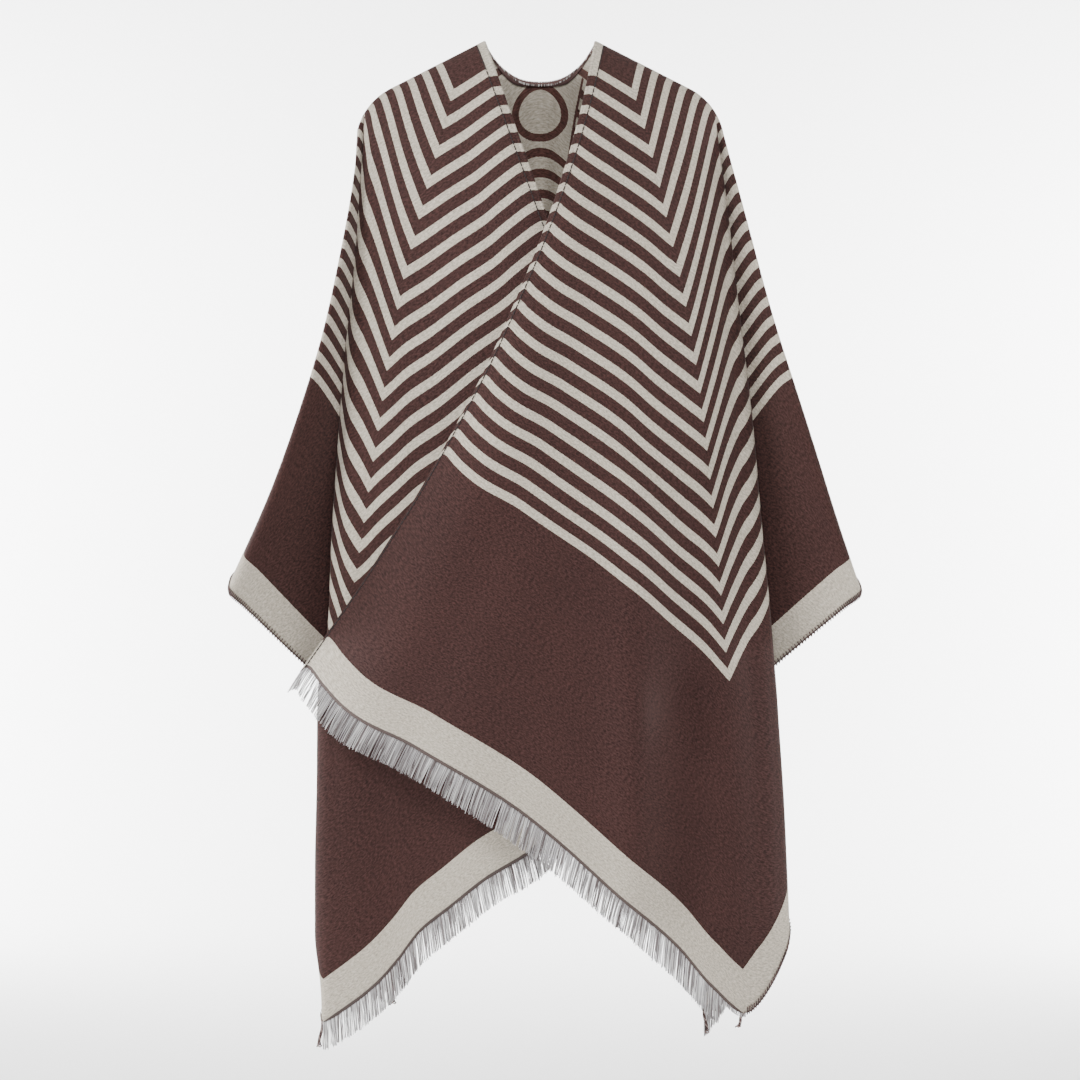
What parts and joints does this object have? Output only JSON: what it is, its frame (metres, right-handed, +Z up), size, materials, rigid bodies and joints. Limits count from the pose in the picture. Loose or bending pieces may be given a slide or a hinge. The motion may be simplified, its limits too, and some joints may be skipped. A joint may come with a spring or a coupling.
{
  "type": "open-front poncho wrap",
  "caption": "Open-front poncho wrap in woven wool with a scooped neck and fringed hems, hollow as worn, the left front wrapped over the right.",
  "frame": {"origin": "on the wearer's shoulders, midway between the two points where the neckline meets the shoulder line", "axes": "+X to the wearer's left, +Y to the back, +Z up"},
  "size_m": [0.6548, 0.3166, 1.0939],
  "materials": {
    "wool": "matte woven wool, dark reddish brown with beige stripes and borders",
    "turned_wool": "matte woven wool, turned in and stitched",
    "fringe": "fine loose threads, grey, off-white and dark"
  },
  "bodies": {
    "root": {"left_front": "wool", "right_front": "wool", "back": "wool", "left_slit_hem": "turned_wool", "right_slit_hem": "turned_wool", "neck_hem": "turned_wool", "left_front_fringe": "fringe", "right_front_fringe": "fringe", "back_fringe": "fringe"}
  },
  "joints": []
}
